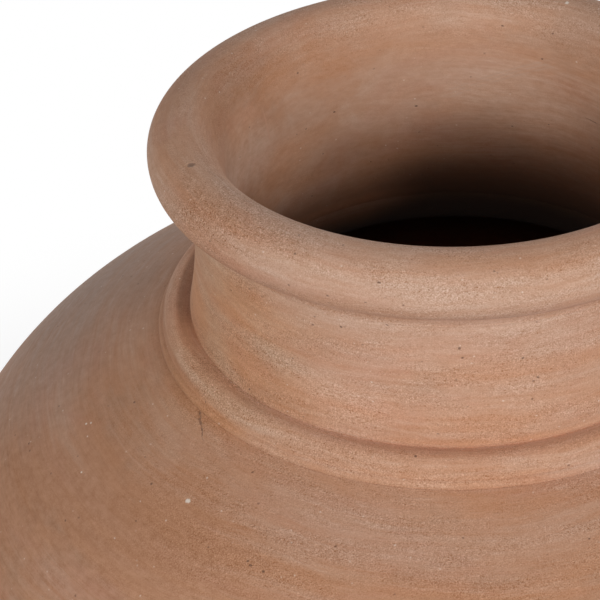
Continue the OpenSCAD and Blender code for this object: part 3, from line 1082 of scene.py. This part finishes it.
        # Painted shade with a grey grazing sheen on the far left of the shoulder
        drifted = self.shaken(self.shaken(self.place, 9.0, 0.10), 40.0, 0.03)
        painted_shade = self.mark(drifted, *PAINTED_SHADE_SIDE, edge=(1.05, 0.10)) * self.outside
        colour = self.mix(colour, tones.painted_shade, painted_shade * (0.62 + self.streak * 0.8))
        tanned = self.mark(self.place, *TANNED_SIDE, edge=(1.0, 0.15)) * self.outside
        return self.mix(colour, tones.tan, tanned, "MULTIPLY")

    def streaked(self, colour, light):
        """The colour, lighter and darker by the painted light and shade of the rings and patches,
        and by the streaks and the sand. Light grains are paler and dark ones browner, so green and
        blue swing further than red."""
        left, shoulder = self.left, self.shoulder
        mottle = self.noise(self.stretched(self.place, 1.0, 2.2), 170.0, 4.0, 0.65) - 0.5
        rough_skin = (
            0.14 + 0.18 * left.greatest(shoulder) + 0.20 * left * shoulder + 0.14 * self.inside
        )
        level = (
            (self.streak * 0.26 + self.hairline * 0.20) * self.wiping + self.dabs * 0.16
            + (self.sand * 1.05 + self.grit * 0.34) * self.coarse + mottle * rough_skin
            + self.cloud * (0.10 + 0.10 * left)
        )
        return self.tinted(colour, [light * (1 + level * swing) for swing in (1.0, 1.45, 1.95)])

    def finger_lines(self, colour):
        """Pale lines that climb round the inside of the neck, where fingers lifted off."""
        climb = self.z + self.y.maths("ARCTAN2", self.y, self.x) * FINGER_CLIMB
        lines = sum(self.band(climb, at - 0.0003, at + 0.0003, 0.0006) for at in FINGER_LINES)
        there = self.ease(self.x, 0.000, 0.012) * self.ease(self.x, 0.068, 0.056)
        there = there * self.ease(self.y, 0.06, 0.08) * self.inside
        return self.mix(
            colour, self.tones.bloom, lines * there * self.ease(self.streak, -0.14, 0.02) * 0.45
        )

    def scratched(self, colour):
        """The scratch in the mouth."""
        line = self.line(self.ragged, SCRATCH, 2.0, 0.0007, (1.15, 0.65))
        return self.mix(colour, self.tones.scratch, line * 0.55)

    def limed(self, colour):
        """Specks and chips of lime, scattered and one by one. Hands back the specks too."""
        lime = self.scattered(1.6, (0.0, 0.0, 0.0), 62.0, (0.046, 0.020), 1, (0.66, 0.70)) * 0.6
        chips = self.scattered(1.3, (0.3, 0.1, 0.7), 150.0, (0.110, 0.045), 0, (0.50, 0.95)) * 0.55
        for centre, width, height in LIME_SPECKS:
            lime = lime.greatest(self.mark(self.ragged, centre, width, height))
        return self.mix(colour, self.tones.lime, (lime + chips).least(1.0)), lime

    def pitted(self, colour):
        """Pits, dark flecks and broken hairline cracks. Hands back where they are too."""
        pits = self.scattered(1.5, (0.9, 0.5, 0.2), 140.0, (0.120, 0.050), 2, (0.50, 1.0)) * 0.85
        for centre, width, height in DARK_FLECKS:
            fleck = self.mark(self.ragged, centre, width * 0.85, height * 0.85)
            pits = pits.greatest(fleck * 0.85)
        bent = self.shaken(self.shaken(self.place, 90.0, 0.0014), 900.0, 0.0004)
        broken = self.ease(self.noise(self.place, 420.0, 1.0), 0.36, 0.54, 0.25, 1.0)
        for ends in CRACKS:
            crack = self.line(bent, ends, 1.75, 0.00026, (1.1, 0.5))
            pits = pits.greatest(crack * broken * 0.8)
        return self.mix(colour, self.tones.pit, pits * 0.8), pits

    def darkened(self, colour):
        """Painted shade inside: under the neck's foot the inside is painted dark down to where it
        opens out, and nearly black round the opening, with painted light and shade by height at the
        opening's edge. On the left this starts lower down."""
        seat_z = self.section.seat_z
        painted_shade = self.inside * self.ease(self.z, seat_z - 0.14, seat_z - 0.08)
        sunk = self.ease(self.x, 0.0, -0.045)
        painted_deep_shade = self.ease(self.z + sunk * 0.019, seat_z + 0.048, seat_z) * painted_shade
        colour = self.mix(colour, self.tones.painted_deep_shade, painted_deep_shade * 0.95)
        painted_deepest_shade = self.ease(self.z + sunk * 0.010, seat_z + 0.006, seat_z - 0.008) * painted_shade
        colour = self.mix(colour, self.tones.painted_deepest_shade, painted_deepest_shade * 0.9)
        # Painted light and shade deep inside by height, lighter on the left
        on_left = self.ease(self.x, 0.006, -0.030)
        shade = self.rings(self.z, DEEP_LEFT_PAINTED_LIGHT) * on_left
        shade = shade + self.rings(self.z, DEEP_RIGHT_PAINTED_LIGHT) * (1 - on_left)
        return self.tinted(colour, [1 + (shade - 1) * painted_shade] * 3)

    def fire(self):
        """Lays all the steps on and hands back the material."""
        bloom, light = self.bloom_and_painted_light()
        pale = self.broken_up(bloom)
        colour = self.streaked(self.fired(bloom, pale), light)
        colour = self.scratched(self.finger_lines(colour))
        colour, lime = self.limed(colour)
        colour, pits = self.pitted(colour)
        colour = self.darkened(colour)
        roughness = self.tones.roughness + self.streak * 0.12 + self.sand * 0.14 + pale * 0.05
        height = (
            (self.sand * 0.00030 + self.grit * 0.00014) * self.coarse + self.streak * 0.00014
            + self.hairline * 0.00007 - pits * 0.00040 + lime * 0.00010
        )
        bump = self.add(
            "ShaderNodeBump", {}, {"Strength": 1.0, "Distance": 1.0, "Height": height}
        )
        clay = self.add(
            "ShaderNodeBsdfPrincipled", {},
            {"Base Color": colour, "Roughness": roughness.least(1.0), "Normal": bump,
             "IOR": 1.45, "Specular IOR Level": 0.4, "Sheen Weight": 0.05, "Sheen Roughness": 0.6},
        )
        self.add("ShaderNodeOutputMaterial", {}, {"Surface": clay})
        return self.material


def clay_material(context):
    """The clay's material, made once."""
    found = bpy.data.materials.get(CLAY)
    if found is None:
        found = FiredClay(context.scene.jar_clay, Section(context.scene.jar_sizes)).fire()
    return found


def stand_for(context, names):
    """Turns the named pieces in place of the solids of the same names."""
    scene = context.scene
    section = Section(scene.jar_sizes)
    outlines = section.pieces()
    clay = clay_material(context)
    for name in names:
        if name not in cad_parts:
            raise RuntimeError(f"the frame has no piece named {name}")
        piece = turn(
            f"{name}_clay", outlines[name], section, scene.jar_marks, scene.jar_sizes.segments
        )
        low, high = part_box(name)
        co = np.empty(len(piece.data.vertices) * 3, np.float32)
        piece.data.vertices.foreach_get("co", co)
        co = co.reshape(-1, 3)
        slip = max(np.abs(co.min(0) - low).max(), np.abs(co.max(0) - high).max())
        if slip > 0.002:
            raise RuntimeError(f"{name} is {slip * 1000:.1f} mm away from its solid")
        piece.data.materials.append(clay)
        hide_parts(name)
        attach(piece, "root")


# Operators -----------------------------------------------------------------------------------


class JAR_OT_floor_slab(Operator):
    """Turn the floor slab, with its standing ring, hollow underside and drain hole"""

    bl_idname = "jar.floor_slab"
    bl_label = "Floor Slab"

    def execute(self, context):
        stand_for(context, ["floor_slab"])
        return {"FINISHED"}


class JAR_OT_wall_courses(Operator):
    """Turn the five courses of the body wall, from the foot up to the neck's seat"""

    bl_idname = "jar.wall_courses"
    bl_label = "Wall Courses"

    def execute(self, context):
        stand_for(context, COURSES)
        return {"FINISHED"}


class JAR_OT_neck_cordon(Operator):
    """Turn the cordon round the neck's foot, with its strip, bead and groove"""

    bl_idname = "jar.neck_cordon"
    bl_label = "Neck Cordon"

    def execute(self, context):
        stand_for(context, ["neck_cordon"])
        return {"FINISHED"}


class JAR_OT_neck_collar(Operator):
    """Turn the waisted neck"""

    bl_idname = "jar.neck_collar"
    bl_label = "Neck Collar"

    def execute(self, context):
        stand_for(context, ["neck_collar"])
        return {"FINISHED"}


class JAR_OT_rim_roll(Operator):
    """Turn the rolled rim and the flare of the mouth"""

    bl_idname = "jar.rim_roll"
    bl_label = "Rim Roll"

    def execute(self, context):
        stand_for(context, ["rim_roll"])
        return {"FINISHED"}


def round_sheet(studio):
    """A round mesh at ground level: rings of points r = R u^2 about the origin, welded at one
    middle point."""
    rings, segments = 40, 96
    u = np.linspace(0, 1, rings + 1)[1:]
    a = np.arange(segments) * 2 * math.pi / segments
    r = (studio.floor_d / 2 * u ** 2)[:, None]
    co = np.concatenate([[[0.0, 0.0, 0.0]], gridded(r * np.cos(a), r * np.sin(a), 0.0)])
    col = np.arange(segments)
    fan = np.stack([np.zeros(segments, int), 1 + col, 1 + (col + 1) % segments], 1)
    row = np.arange(rings - 1)[:, None]
    near, ahead = 1 + row * segments + col, 1 + row * segments + (col + 1) % segments
    quads = gridded(near, near + segments, ahead + segments, ahead)
    mesh = bpy.data.meshes.new("studio_floor")
    mesh.from_pydata(co.tolist(), [], fan.tolist() + quads.tolist())
    mesh.update()
    return mesh


def floor_paper(studio, section):
    """Pale paper that keeps its shadows. To the camera it glows a little round the jar, and is
    plain white far from it."""
    paper = bpy.data.materials.new("studio_paper")
    bench = Bench(paper)
    place = bench.add("ShaderNodeTexCoord", out="Object")
    gap = bench.add("ShaderNodeVectorMath", {"operation": "LENGTH"}, {0: place}, out="Value")
    fibre = 0.97 + bench.noise(place, 300.0, 3.0, 0.6) * 0.06
    colour = bench.tinted(studio.floor_tone, [fibre] * 3)
    dull = bench.add("ShaderNodeBsdfDiffuse", {}, {"Color": colour, "Roughness": 0.5})
    glow, white = (
        bench.add("ShaderNodeEmission", {}, {"Color": (1, 1, 1), "Strength": strength})
        for strength in (studio.floor_glow, 1.0)
    )
    lifted = bench.add("ShaderNodeAddShader", {}, {0: dull, 1: glow})
    seen, looked_at = bench.looked_at()
    # Not under the jar, where the glow would show through the drain hole
    open_floor = seen * bench.ease(gap, section.foot_r * 0.7, section.foot_r)
    near_jar = bench.add("ShaderNodeMixShader", {}, {0: open_floor, 1: dull, 2: lifted})
    far = looked_at * bench.ease(gap, studio.clear_from, studio.clear_to)
    surface = bench.add("ShaderNodeMixShader", {}, {0: far, 1: near_jar, 2: white})
    bench.add("ShaderNodeOutputMaterial", {}, {"Surface": surface})
    return paper


def lay_floor(studio, section):
    """The studio's round paper floor."""
    sheet = round_sheet(studio)
    sheet.materials.append(floor_paper(studio, section))
    floor = bpy.data.objects.new("studio_floor", sheet)
    bpy.context.scene.collection.objects.link(floor)


# The lamps: name, bearing and rise in degrees, width and height in metres, share of the power
LAMPS = (
    ("lamp_left", -143, 14, 1.3, 0.34, 0.52), ("lamp_front", -103, 18, 1.3, 0.34, 1.10),
    ("lamp_right", -54, 21, 1.3, 0.34, 1.36), ("lamp_back", 84, 12, 2.4, 0.80, 0.90),
)


def light_studio(studio, section):
    """An even sky that is white where the camera looks, three soft lamps on an arc in front of the
    jar, from its left to its right, and a wide one behind it. Each looks at the rim from
    D (cos a cos e, sin a cos e, sin e), for its bearing a and rise e."""
    scene = bpy.context.scene
    scene.world = bpy.data.worlds.new("studio_sky")
    bench = Bench(scene.world)
    strength = studio.sky + bench.looked_at()[1] * (1.0 - studio.sky)
    sky = bench.add("ShaderNodeBackground", {}, {"Color": (1, 1, 1), "Strength": strength})
    bench.add("ShaderNodeOutputWorld", {}, {"Surface": sky})

    aim = Vector((0.0, 0.0, section.top_z - 0.05))
    for name, bearing, rise, width, height, part in LAMPS:
        lamp = bpy.data.lights.new(name, "AREA")
        lamp.shape = "RECTANGLE"
        lamp.size, lamp.size_y = width, height
        lamp.energy = studio.lamp_power * part
        holder = bpy.data.objects.new(name, lamp)
        scene.collection.objects.link(holder)
        a, e = math.radians(bearing), math.radians(rise)
        away = Vector((math.cos(a) * math.cos(e), math.sin(a) * math.cos(e), math.sin(e)))
        holder.location = aim + away * studio.lamp_distance
        holder.rotation_euler = away.to_track_quat("Z", "Y").to_euler()


def set_camera(studio):
    """A camera that looks down by the tilt at its aim, from the stand-off in front, and is turned
    by the roll about its view."""
    scene = bpy.context.scene
    camera = bpy.data.cameras.new("camera")
    camera.sensor_width = 36.0
    camera.sensor_fit = "HORIZONTAL"
    camera.lens = studio.lens
    camera.clip_start, camera.clip_end = 0.05, 50.0
    holder = bpy.data.objects.new("camera", camera)
    scene.collection.objects.link(holder)
    ahead = Vector((0.0, math.cos(studio.tilt), -math.sin(studio.tilt)))
    right = Vector((1.0, 0.0, 0.0))
    up = Vector((0.0, math.sin(studio.tilt), math.cos(studio.tilt)))
    c, s = math.cos(studio.roll), math.sin(studio.roll)
    turned = Matrix((c * right + s * up, -s * right + c * up, -ahead)).transposed()
    stand = Vector(studio.aim) - ahead * studio.stand_off
    holder.matrix_world = Matrix.Translation(stand) @ turned.to_4x4()
    scene.camera = holder


class JAR_OT_studio(Operator):
    """Lay the pale floor, light the studio softly and set the camera"""

    bl_idname = "jar.studio"
    bl_label = "Studio"

    def execute(self, context):
        studio = context.scene.jar_studio
        section = Section(context.scene.jar_sizes)
        lay_floor(studio, section)
        light_studio(studio, section)
        set_camera(studio)
        context.scene.view_settings.view_transform = "Standard"
        return {"FINISHED"}


class JAR_PT_panel(Panel):
    """The jar's pieces and settings"""

    bl_label = "Terracotta Jar Planter"
    bl_idname = "JAR_PT_panel"
    bl_space_type = "VIEW_3D"
    bl_region_type = "UI"
    bl_category = "Jar"

    def draw(self, context):
        layout = self.layout
        for operator in PIECES:
            layout.operator(operator.bl_idname)
        for group in ("jar_sizes", "jar_marks", "jar_clay", "jar_studio"):
            box = layout.box()
            settings = getattr(context.scene, group)
            for key in settings.__annotations__:
                box.prop(settings, key)


PIECES = (
    JAR_OT_floor_slab, JAR_OT_wall_courses, JAR_OT_neck_cordon, JAR_OT_neck_collar,
    JAR_OT_rim_roll, JAR_OT_studio,
)
GROUPS = {
    "jar_sizes": JarSizes, "jar_marks": HandMarks, "jar_clay": ClayTones, "jar_studio": StudioSet,
}


def register():
    for group in GROUPS.values():
        bpy.utils.register_class(group)
    for key, group in GROUPS.items():
        setattr(bpy.types.Scene, key, PointerProperty(type=group))
    for operator in PIECES:
        bpy.utils.register_class(operator)
    bpy.utils.register_class(JAR_PT_panel)


def unregister():
    bpy.utils.unregister_class(JAR_PT_panel)
    for operator in reversed(PIECES):
        bpy.utils.unregister_class(operator)
    for key in GROUPS:
        delattr(bpy.types.Scene, key)
    for group in reversed(list(GROUPS.values())):
        bpy.utils.unregister_class(group)


def main():
    register()
    bpy.ops.jar.floor_slab()
    bpy.ops.jar.wall_courses()
    bpy.ops.jar.neck_cordon()
    bpy.ops.jar.neck_collar()
    bpy.ops.jar.rim_roll()
    bpy.ops.jar.studio()


if __name__ == "__main__":
    main()
